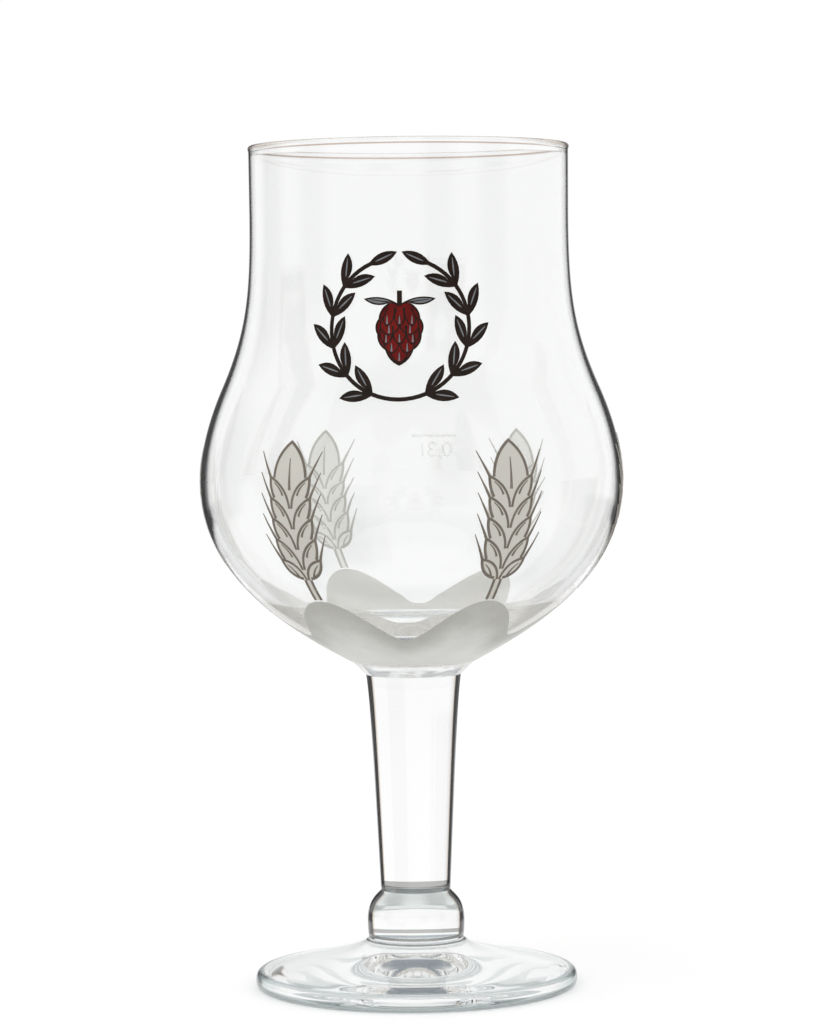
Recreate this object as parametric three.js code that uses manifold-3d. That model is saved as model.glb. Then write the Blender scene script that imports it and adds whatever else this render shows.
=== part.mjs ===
// Tulip beer glass: a blown bowl with a fire-polished rim, a drawn stem, a knop and a pressed
// foot, fused hot into one vessel. A satin coat round the bottom of the bowl, barley ears that
// grow out of it, a wreath with a hop cone and a fill line are enamel, fired on the outside.
// Millimetres, +Z up. The origin is the middle of the foot, on the surface that it stands on,
// and the front of the glass faces -Y.

import * as THREE from 'three';
import { mergeVertices } from 'three/addons/utils/BufferGeometryUtils.js';
import Module from 'manifold-3d';

const wasm = await Module();
wasm.setup();

// Foot: a shallow dome with a rounded edge, hollowed underneath to stand on a flat ring
const FOOT_RADIUS = 40.7;
const FOOT_HEIGHT = 12.4;
const FOOT_EDGE_TOP = 4.3;
const FOOT_EDGE_MIDDLE = 2.0;
const FOOT_EDGE_REACH = 2.1;
const FOOT_RING_REACH = 1.5;
const FOOT_RING_WIDTH = 6.0;
const FOOT_HOLLOW_DEPTH = 2.0;
const FOOT_DOME_SLOPE = 13;
const FOOT_DOME_PULL = 12.9;
const FOOT_FILLET_SLOPE = 65;
const FOOT_FILLET_PULL = 2.9;

// Knop: a bead between foot and stem, widest below its middle
const KNOP_HEIGHT = 12.0;
const KNOP_BASE_RADIUS = 12.0;
const KNOP_RADIUS = 12.27;
const KNOP_WIDEST_HEIGHT = 4.5;
const KNOP_SHOULDER_PULL = 5.4;
const KNOP_NECK_PULL = 0.8;

// Stem: solid, tapering down to the knop and flaring out under the bowl
const STEM_LENGTH = 54.6;
const STEM_BOTTOM_RADIUS = 8.8;
const STEM_TOP_RADIUS = 12.0;
const STEM_TAPER_SLOPE = 87.3;
const STEM_TAPER_PULL = 30;
const STEM_FLARE_SLOPE = 81;
const STEM_FLARE_PULL = 6.5;

// Bowl outside: heights are above the joint with the stem, slopes are degrees from level,
// and a pull is how far the curve keeps its direction from a point
const BOWL_HEIGHT = 133.0;
const HEEL_RADIUS = 15.3;
const HEEL_HEIGHT = 3.2;
const HEEL_SLOPE = 27.6;
const HEEL_PULL = 22.8;
const BELLY_RADIUS = 53.15;
const BELLY_HEIGHT = 49.15;
const BELLY_LOWER_PULL = 22.2;
const BELLY_UPPER_PULL = 9.0;
const FLARE_RADIUS = 47.5;
const FLARE_HEIGHT = 72.1;
const FLARE_SLOPE = 113.9;
const FLARE_LOWER_PULL = 4.8;
const FLARE_UPPER_PULL = 15.8;
const NECK_RADIUS = 40.0;
const NECK_HEIGHT = 115.2;
const NECK_PULL = 19.5;
const RIM_RADIUS = 40.1;
const RIM_BEAD_RADIUS = 0.8;
const RIM_BEAD_WRAP = 25;

// Bowl inside: the wall thins towards the rim, and the floor is a thick lens of glass
const RIM_WALL = 1.2;
const BELLY_WALL = 1.8;
const HEEL_WALL = 2.6;
const INSIDE_HEEL_HEIGHT = 18.5;
const FLOOR_THICKNESS = 11.5;

// Enamel: one print thickness over the bowl, clear of it by a hair, and the space between colours
const ENAMEL_THICKNESS = 0.25;
const ENAMEL_CLEARANCE = 0.05;
const PRINT_SPACE = 0.4;

// Satin coat: its upper edge hangs in swags between the ears
const COAT_BOTTOM = 3.4;
const COAT_VALLEY = 11.0;
const COAT_PEAK = 21.0;

// Barley ears, spaced evenly round the bowl and clear of its front
const EAR_COUNT = 6;
const EAR_WIDTH = 12.0;
const EAR_END_BULGE = 1.2;
const STALK_BOTTOM = 14.0;
const STALK_WIDTH = 2.4;
const GRAIN_PAIRS = 5;
const GRAIN_LOWEST = 26.5;
const GRAIN_PITCH = 5.0;
const GRAIN_BULGE = 0.38;
const TOP_GRAIN_LENGTH = 9.0;
const AWN_LENGTH = 7.0;
const AWN_WIDTH = 1.1;
const AWN_LEAN = 24;

// Wreath on the front: two leafy branches that rise from a common foot and leave its top open
const WREATH_HEIGHT = 87.0;
const WREATH_RADIUS = 17.0;
const WREATH_STEM_WIDTH = 1.0;
const WREATH_OPENING = 24;
const WREATH_LEAF_PAIRS = 6;
const WREATH_LEAF_LENGTH = 7.0;
const WREATH_LEAF_BASE = 2.2;
const WREATH_LEAF_SPREAD = 34;
const WREATH_LEAF_BULGE = 1.1;

// Hop cone in the middle of the wreath: scales down both sides, and a stalk with two leaves on top
const HOP_LENGTH = 15.0;
const HOP_WIDTH = 11.0;
const HOP_ROUNDING = 152;
const HOP_SCALES = 4;
const HOP_SCALE_BULGE = 0.6;
const HOP_LEAF_LENGTH = 6.2;
const HOP_LEAF_SLOPE = 10;
const HOP_LEAF_BULGE = 0.9;
const HOP_STALK_LENGTH = 3.0;
const HOP_STALK_WIDTH = 1.2;

// Fill line on the back, where the bowl holds 0.3 litres
const FILL_HEIGHT = 58.4;
const FILL_LINE_LENGTH = 12.4;
const FILL_LINE_WIDTH = 0.7;
const FILL_LINE_AZIMUTH = 176.5;

// Smoothness of the turned and printed forms: the facets repeat from ear to ear
const SEGMENTS_PER_EAR = 8;
const TURN_SEGMENTS = SEGMENTS_PER_EAR * EAR_COUNT;
const CURVE_STEPS = 4;
const BOWL_CURVE_STEPS = 7;
const PRINT_CURVE_STEPS = 3;

// The pieces stand on each other
const KNOP_BASE = FOOT_HEIGHT;
const STEM_BASE = KNOP_BASE + KNOP_HEIGHT;
const BOWL_BASE = STEM_BASE + STEM_LENGTH;

const GLASS = { color: 0xf2f5f3, roughness: 0.03, metalness: 0, transparent: true, opacity: 0.35 };
const SATIN = { color: 0xc8c6bc, roughness: 0.75, metalness: 0 };
const BLACK = { color: 0x1d1917, roughness: 0.4, metalness: 0 };
const RED = { color: 0x8c1a1c, roughness: 0.4, metalness: 0 };
const PALE = { color: 0xe6e6e2, roughness: 0.6, metalness: 0 };

const { degToRad, mapLinear, radToDeg, smoothstep } = THREE.MathUtils;

// Direction in the plane of an outline, in degrees up from level
function heading(slope) {
  return new THREE.Vector2(Math.cos(degToRad(slope)), Math.sin(degToRad(slope)));
}

// Continues a path to a point by a curve that leaves along one slope and arrives along another
function sweepTo(path, leaveSlope, leavePull, end, arriveSlope, arrivePull) {
  const leave = path.currentPoint.clone().addScaledVector(heading(leaveSlope), leavePull);
  const arrive = end.clone().addScaledVector(heading(arriveSlope), -arrivePull);
  path.bezierCurveTo(leave.x, leave.y, arrive.x, arrive.y, end.x, end.y);
}

// Points of an outline moved square to it, outwards where the outline climbs
function offsetOutline(points, distanceAt) {
  return points.map((point, i) => {
    const before = points[Math.max(i - 1, 0)];
    const after = points[Math.min(i + 1, points.length - 1)];
    const along = after.clone().sub(before).normalize();
    const outward = new THREE.Vector2(along.y, -along.x);
    return point.clone().addScaledVector(outward, distanceAt(point));
  });
}

// Solid of revolution about +Z from points of (radius, height), first meridian at the front
function turn(points, segments = TURN_SEGMENTS) {
  return new THREE.LatheGeometry(points, segments).rotateX(Math.PI / 2);
}

function footGeometry() {
  const ringOuter = FOOT_RADIUS - FOOT_RING_REACH;
  const ringInner = ringOuter - FOOT_RING_WIDTH;
  const edge = new THREE.Vector2(FOOT_RADIUS - FOOT_EDGE_REACH, FOOT_EDGE_TOP);
  const top = new THREE.Vector2(KNOP_BASE_RADIUS, FOOT_HEIGHT);
  const path = new THREE.Path();
  path.moveTo(0, FOOT_HOLLOW_DEPTH);
  path.quadraticCurveTo(ringInner / 2, FOOT_HOLLOW_DEPTH, ringInner, 0);
  path.lineTo(ringOuter, 0);
  path.quadraticCurveTo(FOOT_RADIUS, 0, FOOT_RADIUS, FOOT_EDGE_MIDDLE);
  path.quadraticCurveTo(FOOT_RADIUS, FOOT_EDGE_TOP, edge.x, edge.y);
  sweepTo(path, 180 - FOOT_DOME_SLOPE, FOOT_DOME_PULL, top, 180 - FOOT_FILLET_SLOPE, FOOT_FILLET_PULL);
  path.lineTo(0, FOOT_HEIGHT);
  return turn(path.getPoints(CURVE_STEPS));
}

function knopGeometry() {
  const widest = KNOP_BASE + KNOP_WIDEST_HEIGHT;
  const neck = new THREE.Vector2(STEM_BOTTOM_RADIUS, STEM_BASE);
  const path = new THREE.Path();
  path.moveTo(0, KNOP_BASE);
  path.lineTo(KNOP_BASE_RADIUS, KNOP_BASE);
  path.quadraticCurveTo(KNOP_RADIUS, KNOP_BASE + KNOP_WIDEST_HEIGHT / 2, KNOP_RADIUS, widest);
  sweepTo(path, 90, KNOP_SHOULDER_PULL, neck, 90, KNOP_NECK_PULL);
  path.lineTo(0, STEM_BASE);
  return turn(path.getPoints(CURVE_STEPS));
}

function stemGeometry() {
  const top = new THREE.Vector2(STEM_TOP_RADIUS, BOWL_BASE);
  const path = new THREE.Path();
  path.moveTo(0, STEM_BASE);
  path.lineTo(STEM_BOTTOM_RADIUS, STEM_BASE);
  sweepTo(path, STEM_TAPER_SLOPE, STEM_TAPER_PULL, top, STEM_FLARE_SLOPE, STEM_FLARE_PULL);
  path.lineTo(0, BOWL_BASE);
  return turn(path.getPoints(CURVE_STEPS));
}

// The bowl's outside from the joint up to the bead at the rim
function bowlOutside() {
  const belly = new THREE.Vector2(BELLY_RADIUS, BOWL_BASE + BELLY_HEIGHT);
  const flare = new THREE.Vector2(FLARE_RADIUS, BOWL_BASE + FLARE_HEIGHT);
  const neck = new THREE.Vector2(NECK_RADIUS, BOWL_BASE + NECK_HEIGHT);
  const path = new THREE.Path();
  path.moveTo(STEM_TOP_RADIUS, BOWL_BASE);
  path.lineTo(HEEL_RADIUS, BOWL_BASE + HEEL_HEIGHT);
  sweepTo(path, HEEL_SLOPE, HEEL_PULL, belly, 90, BELLY_LOWER_PULL);
  sweepTo(path, 90, BELLY_UPPER_PULL, flare, FLARE_SLOPE, FLARE_LOWER_PULL);
  sweepTo(path, FLARE_SLOPE, FLARE_UPPER_PULL, neck, 90, NECK_PULL);
  path.lineTo(RIM_RADIUS, BOWL_BASE + BOWL_HEIGHT - 2 * RIM_BEAD_RADIUS);
  return path.getPoints(BOWL_CURVE_STEPS);
}

const outside = bowlOutside();

// Wall of the bowl at a height above its base
function wallAt(height) {
  if (height > BELLY_HEIGHT) {
    const thinning = smoothstep(height, BELLY_HEIGHT, NECK_HEIGHT);
    return mapLinear(thinning, 0, 1, BELLY_WALL, RIM_WALL);
  }
  return mapLinear(height, INSIDE_HEEL_HEIGHT, BELLY_HEIGHT, HEEL_WALL, BELLY_WALL);
}

function bowlGeometry() {
  const inside = offsetOutline(outside, (point) => -wallAt(point.y - BOWL_BASE))
    .filter((point, i) => outside[i].y - BOWL_BASE > INSIDE_HEEL_HEIGHT)
    .reverse();
  const floor = BOWL_BASE + FLOOR_THICKNESS;
  const heel = inside[inside.length - 1];
  const fall = heel.clone().sub(inside[inside.length - 2]);
  const turnIn = new THREE.Vector2(heel.x + fall.x * (floor - heel.y) / fall.y, floor);
  const bottom = new THREE.QuadraticBezierCurve(heel, turnIn, new THREE.Vector2(0, floor));
  const beadMiddle = new THREE.Vector2(RIM_RADIUS - RIM_WALL / 2, BOWL_BASE + BOWL_HEIGHT - RIM_BEAD_RADIUS);
  const bead = new THREE.Path();
  bead.absarc(
    beadMiddle.x, beadMiddle.y, RIM_BEAD_RADIUS, degToRad(-RIM_BEAD_WRAP), degToRad(180 + RIM_BEAD_WRAP),
  );
  return turn([
    new THREE.Vector2(0, BOWL_BASE),
    ...outside,
    ...bead.getPoints(CURVE_STEPS),
    ...inside,
    ...bottom.getPoints(BOWL_CURVE_STEPS).slice(1),
  ]);
}

// Radius of the bowl's outside at a height above its base
function bowlRadiusAt(height) {
  const z = BOWL_BASE + height;
  const i = Math.max(outside.findIndex((point) => point.y >= z), 1);
  return mapLinear(z, outside[i - 1].y, outside[i].y, outside[i - 1].x, outside[i].x);
}

// Solids that are joined and cut
function toSolid(geometry) {
  const bare = geometry.clone();
  bare.deleteAttribute('normal');
  bare.deleteAttribute('uv');
  const merged = mergeVertices(bare);
  const vertProperties = new Float32Array(merged.attributes.position.array);
  const triVerts = new Uint32Array(merged.index.array);
  return new wasm.Manifold(new wasm.Mesh({ numProp: 3, vertProperties, triVerts }));
}

function toGeometry(solid) {
  const { vertProperties, triVerts } = solid.getMesh();
  const geometry = new THREE.BufferGeometry();
  geometry.setAttribute('position', new THREE.BufferAttribute(vertProperties, 3));
  geometry.setIndex(new THREE.BufferAttribute(triVerts, 1));
  return geometry;
}

// The layer over the bowl that every print is cut from
function enamelLayer() {
  const back = offsetOutline(outside, () => ENAMEL_CLEARANCE);
  const face = offsetOutline(outside, () => ENAMEL_CLEARANCE + ENAMEL_THICKNESS);
  return toSolid(turn([...face, ...back.reverse(), face[0]]));
}

const layer = enamelLayer();

// Cuts reach from inside the bowl's bottom past its widest print
const CUT_REACH = BELLY_RADIUS + BELLY_WALL;

// A print: a flat outline, in widths and heights on the bowl, wrapped round it and cut from the layer
function print(outline, azimuth) {
  const wrapped = outline.map((point) => {
    const radius = bowlRadiusAt(point.y);
    return new THREE.Vector2(radius * Math.sin(point.x / radius), BOWL_BASE + point.y);
  });
  const settings = { depth: CUT_REACH, bevelEnabled: false };
  const block = new THREE.ExtrudeGeometry(new THREE.Shape(wrapped), settings);
  block.rotateX(Math.PI / 2);
  block.rotateZ(degToRad(azimuth));
  return layer.intersect(toSolid(block));
}

// Continues an outline to a point by a curve that bulges to the right of the way there
function bulgeTo(path, end, bulge) {
  const start = path.currentPoint;
  const along = end.clone().sub(start).normalize();
  const right = new THREE.Vector2(along.y, -along.x);
  const control = start.clone().lerp(end, 0.5).addScaledVector(right, 2 * bulge);
  path.quadraticCurveTo(control.x, control.y, end.x, end.y);
}

// An outline that is the same on both sides of an upright middle line, from its right side
function mirrored(rightSide) {
  const leftSide = rightSide.filter((point) => point.x > 0)
    .map((point) => new THREE.Vector2(-point.x, point.y));
  return [...rightSide, ...leftSide.reverse()];
}

// The satin coat's upper edge, above the bowl's base, at an angle in radians from a valley
function coatEdgeAt(angle) {
  const middle = (COAT_PEAK + COAT_VALLEY) / 2;
  return middle - (COAT_PEAK - COAT_VALLEY) / 2 * Math.cos(EAR_COUNT * angle);
}

// A ring round the bowl's bottom, up to the coat's edge and a space above it, for a coat turned by an angle
function coatRing(space, turned) {
  const low = BOWL_BASE + COAT_BOTTOM;
  const high = BOWL_BASE + COAT_PEAK;
  const section = [
    new THREE.Vector2(STEM_TOP_RADIUS, low),
    new THREE.Vector2(CUT_REACH, low),
    new THREE.Vector2(CUT_REACH, high),
    new THREE.Vector2(STEM_TOP_RADIUS, high),
    new THREE.Vector2(STEM_TOP_RADIUS, low),
  ];
  const geometry = turn(section, 2 * TURN_SEGMENTS);
  const position = geometry.attributes.position;
  for (let i = 0; i < position.count; i += 1) {
    if (position.getZ(i) > (low + high) / 2) {
      const angle = Math.atan2(position.getX(i), -position.getY(i));
      position.setZ(i, BOWL_BASE + coatEdgeAt(angle - turned) + space);
    }
  }
  return toSolid(geometry);
}

// One barley ear: a stalk, a pair of awned grains at each step up both sides, and one grain on top
function earOutline() {
  const path = new THREE.Path();
  path.moveTo(STALK_WIDTH / 2, STALK_BOTTOM);
  path.lineTo(STALK_WIDTH / 2, GRAIN_LOWEST);
  for (let i = 1; i <= GRAIN_PAIRS; i += 1) {
    const tip = new THREE.Vector2(EAR_WIDTH / 2, GRAIN_LOWEST + i * GRAIN_PITCH);
    const awn = tip.clone().addScaledVector(heading(90 - AWN_LEAN), AWN_LENGTH);
    bulgeTo(path, tip, i === 1 ? EAR_END_BULGE : GRAIN_BULGE);
    path.lineTo(awn.x, awn.y);
    path.lineTo(tip.x - AWN_WIDTH, tip.y);
  }
  const top = new THREE.Vector2(0, path.currentPoint.y + TOP_GRAIN_LENGTH);
  bulgeTo(path, top, EAR_END_BULGE);
  return mirrored(path.getPoints(PRINT_CURVE_STEPS));
}

// A point of the wreath, in degrees round its middle
function wreathPoint(angle, radius) {
  return heading(angle).multiplyScalar(radius).add(new THREE.Vector2(0, WREATH_HEIGHT));
}

// Continues a branch's outline round a leaf that points along the branch and spreads away from it
function addWreathLeaf(path, from, angle, spread, to) {
  const tip = from.clone().lerp(to, 0.5).addScaledVector(heading(angle + 90 - spread), WREATH_LEAF_LENGTH);
  path.lineTo(from.x, from.y);
  bulgeTo(path, tip, WREATH_LEAF_BULGE);
  bulgeTo(path, to, WREATH_LEAF_BULGE);
}

// The wreath: on each side an arc of stem with leaves along both edges, and one at its end
function wreathOutline() {
  const outer = WREATH_RADIUS + WREATH_STEM_WIDTH / 2;
  const inner = WREATH_RADIUS - WREATH_STEM_WIDTH / 2;
  const half = radToDeg(WREATH_LEAF_BASE / WREATH_RADIUS) / 2;
  const end = 90 - WREATH_OPENING;
  const path = new THREE.Path();
  path.moveTo(0, WREATH_HEIGHT - outer);
  for (let i = 1; i < WREATH_LEAF_PAIRS; i += 1) {
    const angle = mapLinear(i, 0, WREATH_LEAF_PAIRS, -90, end);
    const from = wreathPoint(angle - half, outer);
    addWreathLeaf(path, from, angle, WREATH_LEAF_SPREAD, wreathPoint(angle + half, outer));
  }
  addWreathLeaf(path, wreathPoint(end, outer), end, 0, wreathPoint(end, inner));
  for (let i = WREATH_LEAF_PAIRS - 1; i > 0; i -= 1) {
    const angle = mapLinear(i, 0, WREATH_LEAF_PAIRS, -90, end);
    const from = wreathPoint(angle + half, inner);
    addWreathLeaf(path, from, angle, -WREATH_LEAF_SPREAD, wreathPoint(angle - half, inner));
  }
  path.lineTo(0, WREATH_HEIGHT - inner);
  return mirrored(path.getPoints(PRINT_CURVE_STEPS));
}

// The hop cone, tip down
function hopOutline() {
  const bottom = WREATH_HEIGHT - (HOP_LENGTH + HOP_STALK_LENGTH) / 2;
  const path = new THREE.Path();
  path.moveTo(0, bottom);
  for (let i = 1; i <= HOP_SCALES; i += 1) {
    const share = i / HOP_SCALES;
    const half = HOP_WIDTH / 2 * Math.sin(degToRad(HOP_ROUNDING * share));
    bulgeTo(path, new THREE.Vector2(half, bottom + HOP_LENGTH * share), HOP_SCALE_BULGE);
  }
  const shoulder = path.currentPoint;
  const leafTip = shoulder.clone().addScaledVector(heading(HOP_LEAF_SLOPE), HOP_LEAF_LENGTH);
  bulgeTo(path, leafTip, HOP_LEAF_BULGE);
  bulgeTo(path, new THREE.Vector2(HOP_STALK_WIDTH / 2, shoulder.y), HOP_LEAF_BULGE);
  path.lineTo(HOP_STALK_WIDTH / 2, bottom + HOP_LENGTH + HOP_STALK_LENGTH);
  return mirrored(path.getPoints(PRINT_CURVE_STEPS));
}

function fillLineOutline() {
  return mirrored([
    new THREE.Vector2(FILL_LINE_LENGTH / 2, FILL_HEIGHT - FILL_LINE_WIDTH / 2),
    new THREE.Vector2(FILL_LINE_LENGTH / 2, FILL_HEIGHT + FILL_LINE_WIDTH / 2),
  ]);
}

const glass = new THREE.Group();

function addPiece(name, geometry, look) {
  const mesh = new THREE.Mesh(geometry, new THREE.MeshStandardMaterial(look));
  mesh.name = name;
  glass.add(mesh);
}

addPiece('bowl', bowlGeometry(), GLASS);
addPiece('stem', stemGeometry(), GLASS);
addPiece('knop', knopGeometry(), GLASS);
addPiece('foot', footGeometry(), GLASS);

addPiece('satin_coat', toGeometry(layer.intersect(coatRing(0, 0))), SATIN);

// An ear stands on each peak of the coat. It is cut at the front, over a coat with a peak there, and turned.
const EAR_SPACING = 2 * Math.PI / EAR_COUNT;
const ear = toGeometry(print(earOutline(), 0).subtract(coatRing(PRINT_SPACE, EAR_SPACING / 2)));
for (let i = 0; i < EAR_COUNT; i += 1) {
  addPiece(`barley_ear_${i + 1}`, ear.clone().rotateZ((i + 0.5) * EAR_SPACING), SATIN);
}

addPiece('wreath', toGeometry(print(wreathOutline(), 0)), BLACK);
addPiece('hop_cone', toGeometry(print(hopOutline(), 0)), RED);
addPiece('fill_line', toGeometry(print(fillLineOutline(), FILL_LINE_AZIMUTH)), PALE);

export default glass;
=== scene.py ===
import math

import bmesh
import bpy
import numpy as np
from mathutils import Matrix, Vector

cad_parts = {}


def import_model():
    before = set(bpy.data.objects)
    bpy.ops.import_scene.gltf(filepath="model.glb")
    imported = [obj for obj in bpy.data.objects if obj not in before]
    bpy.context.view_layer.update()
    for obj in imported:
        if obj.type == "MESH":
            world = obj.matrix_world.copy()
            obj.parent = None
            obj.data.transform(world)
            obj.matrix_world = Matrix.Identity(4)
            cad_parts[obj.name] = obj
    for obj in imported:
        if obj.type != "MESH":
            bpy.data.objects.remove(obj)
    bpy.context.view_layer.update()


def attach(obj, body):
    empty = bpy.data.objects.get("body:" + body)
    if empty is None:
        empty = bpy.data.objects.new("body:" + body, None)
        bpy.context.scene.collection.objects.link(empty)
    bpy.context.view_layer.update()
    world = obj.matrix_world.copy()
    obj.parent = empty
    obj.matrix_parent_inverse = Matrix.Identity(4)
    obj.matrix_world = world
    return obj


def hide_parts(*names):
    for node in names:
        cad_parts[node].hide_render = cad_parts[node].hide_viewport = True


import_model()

MM = 0.001

# Foot, knop, stem and bowl as in the CAD, in millimetres and degrees
FOOT_RADIUS, FOOT_HEIGHT = 40.7, 12.4
FOOT_EDGE_TOP, FOOT_EDGE_MIDDLE, FOOT_EDGE_REACH = 4.3, 2.0, 2.1
FOOT_RING_REACH, FOOT_RING_WIDTH, FOOT_HOLLOW_DEPTH = 1.5, 6.0, 2.0
FOOT_DOME_SLOPE, FOOT_DOME_PULL = 13, 12.9
FOOT_FILLET_SLOPE, FOOT_FILLET_PULL = 65, 2.9
KNOP_HEIGHT, KNOP_BASE_RADIUS, KNOP_RADIUS = 12.0, 12.0, 12.27
KNOP_WIDEST_HEIGHT, KNOP_SHOULDER_PULL, KNOP_NECK_PULL = 4.5, 5.4, 0.8
STEM_LENGTH, STEM_BOTTOM_RADIUS, STEM_TOP_RADIUS = 54.6, 8.8, 12.0
STEM_TAPER_SLOPE, STEM_TAPER_PULL = 87.3, 30
STEM_FLARE_SLOPE, STEM_FLARE_PULL = 81, 6.5
BOWL_HEIGHT = 133.0
HEEL_RADIUS, HEEL_HEIGHT, HEEL_SLOPE, HEEL_PULL = 15.3, 3.2, 27.6, 22.8
BELLY_RADIUS, BELLY_HEIGHT, BELLY_LOWER_PULL, BELLY_UPPER_PULL = 53.15, 49.15, 22.2, 9.0
FLARE_RADIUS, FLARE_HEIGHT, FLARE_SLOPE = 47.5, 72.1, 113.9
FLARE_LOWER_PULL, FLARE_UPPER_PULL = 4.8, 15.8
NECK_RADIUS, NECK_HEIGHT, NECK_PULL = 40.0, 115.2, 19.5
RIM_RADIUS, RIM_BEAD_RADIUS, RIM_BEAD_WRAP = 40.1, 0.8, 25
RIM_WALL, BELLY_WALL, HEEL_WALL = 1.2, 1.8, 2.6
INSIDE_HEEL_HEIGHT, FLOOR_THICKNESS = 18.5, 11.5
KNOP_BASE = FOOT_HEIGHT
STEM_BASE = KNOP_BASE + KNOP_HEIGHT
BOWL_BASE = STEM_BASE + STEM_LENGTH

# Enamel as in the CAD
COAT_BOTTOM, COAT_VALLEY, COAT_PEAK = 3.4, 11.0, 21.0
PRINT_SPACE = 0.4
EAR_COUNT, EAR_WIDTH, EAR_END_BULGE, STALK_WIDTH = 6, 12.0, 1.2, 2.4
GRAIN_PAIRS, GRAIN_LOWEST, GRAIN_PITCH, GRAIN_BULGE = 5, 26.5, 5.0, 0.38
TOP_GRAIN_LENGTH, AWN_LENGTH, AWN_WIDTH, AWN_LEAN = 9.0, 7.0, 1.1, 24
WREATH_HEIGHT, WREATH_RADIUS, WREATH_STEM_WIDTH, WREATH_OPENING = 87.0, 17.0, 1.0, 24
WREATH_LEAF_PAIRS, WREATH_LEAF_LENGTH, WREATH_LEAF_BASE = 6, 7.0, 2.2
WREATH_LEAF_SPREAD, WREATH_LEAF_BULGE = 34, 1.1
HOP_LENGTH, HOP_WIDTH, HOP_ROUNDING = 15.0, 11.0, 152
HOP_SCALES, HOP_SCALE_BULGE = 4, 0.6
HOP_LEAF_LENGTH, HOP_LEAF_SLOPE, HOP_LEAF_BULGE = 6.2, 10, 0.9
HOP_STALK_LENGTH, HOP_STALK_WIDTH = 3.0, 1.2
FILL_HEIGHT, FILL_LINE_LENGTH, FILL_LINE_WIDTH, FILL_LINE_AZIMUTH = 58.4, 12.4, 0.7, 176.5

# Fineness
SEGMENTS = 160
STEPS = 22
FUSE_STEPS = 6
PRINT_STEPS = 10
PRINT_GRID, HOP_GRID = 1.6, 1.2
BEAD_STEPS = 17
HOLLOW_STEPS = 9
FOOT_RING_STEPS = 5
FOOT_EDGE_STEPS = 10
FOOT_EDGE_START = STEPS + FOOT_RING_STEPS
FOOT_EDGE_TURN = FOOT_EDGE_START + FOOT_EDGE_STEPS
FOOT_EDGE_END = FOOT_EDGE_TURN + FOOT_EDGE_STEPS
# Ring of painted shade near the top of the foot, counted from its top
FOOT_SHADE_RING_FROM_TOP = 3
KNOP_BASE_STEPS = 12
# Rings of painted shade at the knop's base
KNOP_SHADE_RINGS = (1, 3)
RIM_STEPS = 12
FINE_STEPS, STALK_STEPS = 8, 3
WREATH_ARC_STEPS, WREATH_LEAF_STEPS = 5, 6
HOP_SCALE_STEPS = 8
FILL_LINE_STEPS, ARC_STEPS, CIRCLE_STEPS = 12, 14, 24
COAT_ROWS, COAT_COLUMNS = 10, 240
SHARP_ANGLE = 40
ON_AXIS, CUT_REACH = 1e-6, 1e-5

# Sides of a line that a band can lie on
LEFT, ASTRIDE, RIGHT = -1, 0, 1

# Fine drawing that only the scene has, in millimetres, shares, degrees and counts
PRINT_LIFT, COAT_LIFT, PRINT_THICKNESS = 0.04, -0.02, 0.05
# Height of the ring of painted shade at the bottom of the stem
SHADE_RING_HEIGHT = 1.6
EAR_LINE, EAR_SEAM_LINE, GRAIN_RIB_LINE, TOP_RIB_LINE = 0.7, 0.595, 0.56, 0.35
EAR_LINE_END, TOP_RIB_END = 0.2, 0.1
AWN_LINE_SPAN = (-0.06, 0.97)
EAR_SEAM_START, EAR_SEAM_DROP, EAR_SEAM_BULGE = 0.3, 7.4, -1.3
GRAIN_RIB_START, GRAIN_RIB_END, GRAIN_RIB_BULGE = (3.9, 4.3), (1.5, 1.2), -0.3
TOP_RIB_OFFSET, TOP_RIB_SPAN = 0.02, (-3.0, 4.6)
LEAF_VEIN_SPAN, LEAF_VEIN_WIDTHS = (0.18, 0.82), (0.12, 0.3, 0.36, 0.36, 0.32, 0.24, 0.1)
HOP_SCALE_ROWS, HOP_ROW_LOWEST, HOP_ROW_MARGIN = (1, 2, 3, 2, 3), 0.5, 4.0
HOP_SCALE_HEIGHT, HOP_SCALE_MIDDLE, HOP_SCALE_GAP = 4.6, 2.2, 0.3
HOP_SCALE_INSET, HOP_SCALE_OVERLAP = 0.9, 0.62
HOP_SCALE_SWELL, HOP_SCALE_SWELL_HEIGHT, HOP_SCALE_TOP_SHARE = 1.1, 1.2, 0.8
HOP_SCALE_LINE, HOP_SIDE_LINE, HOP_LEAF_LINE = 0.32, 0.42, 0.36
HOP_VEIN_SPAN, HOP_VEIN_WIDTHS = (0.7, 2.6), np.linspace(0.45, 0.15, 6)
HOP_RIB_SPAN, HOP_RIB_WIDTHS = (0.05, 0.8), np.linspace(0.35, 0.12, 7)
HOP_STALK_SINK = 0.6
HOP_LEAF_LEVEL = len(HOP_SCALE_ROWS) + 2
FIGURE_DROP, FIGURE_HEIGHT, FIGURE_HALF_WIDTH, FIGURE_LINE = 5.4, 3.6, 1.15, 0.5
ZERO_PLACE, THREE_PLACE, LITRE_PLACE = -3.4, 0.55, 3.3
COMMA = [(-1.35, 0.3), (-1.6, -0.3), (-1.85, -0.7)]
THREE_TOP_WIDTH, THREE_TOP_RISE, THREE_TOP_SHARE, THREE_BOTTOM_SHARE = 0.85, 0.74, 0.26, 0.25
THREE_TOP_TURN, THREE_BOTTOM_TURN = (150, -90), (90, -150)

# Material slots of the prints and the coat, in the order in which their pieces get them
EAR_FILL, EAR_STROKE, EAR_FILL_BACK, EAR_STROKE_BACK = range(4)
WREATH_LEAF, WREATH_VEIN = range(2)
HOP_RED, HOP_BLACK, HOP_GREY = range(3)
COAT_FRONT, COAT_BACK = range(2)
FILL_PALE = 0


def heading(slope):
    """A unit vector at a slope in degrees."""
    return np.array([math.cos(math.radians(slope)), math.sin(math.radians(slope))])


def line_to(points, *end, steps=1):
    start, end = points[-1], np.array(end, float)
    for t in np.linspace(0, 1, steps + 1)[1:]:
        points.append(start + (end - start) * t)


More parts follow.
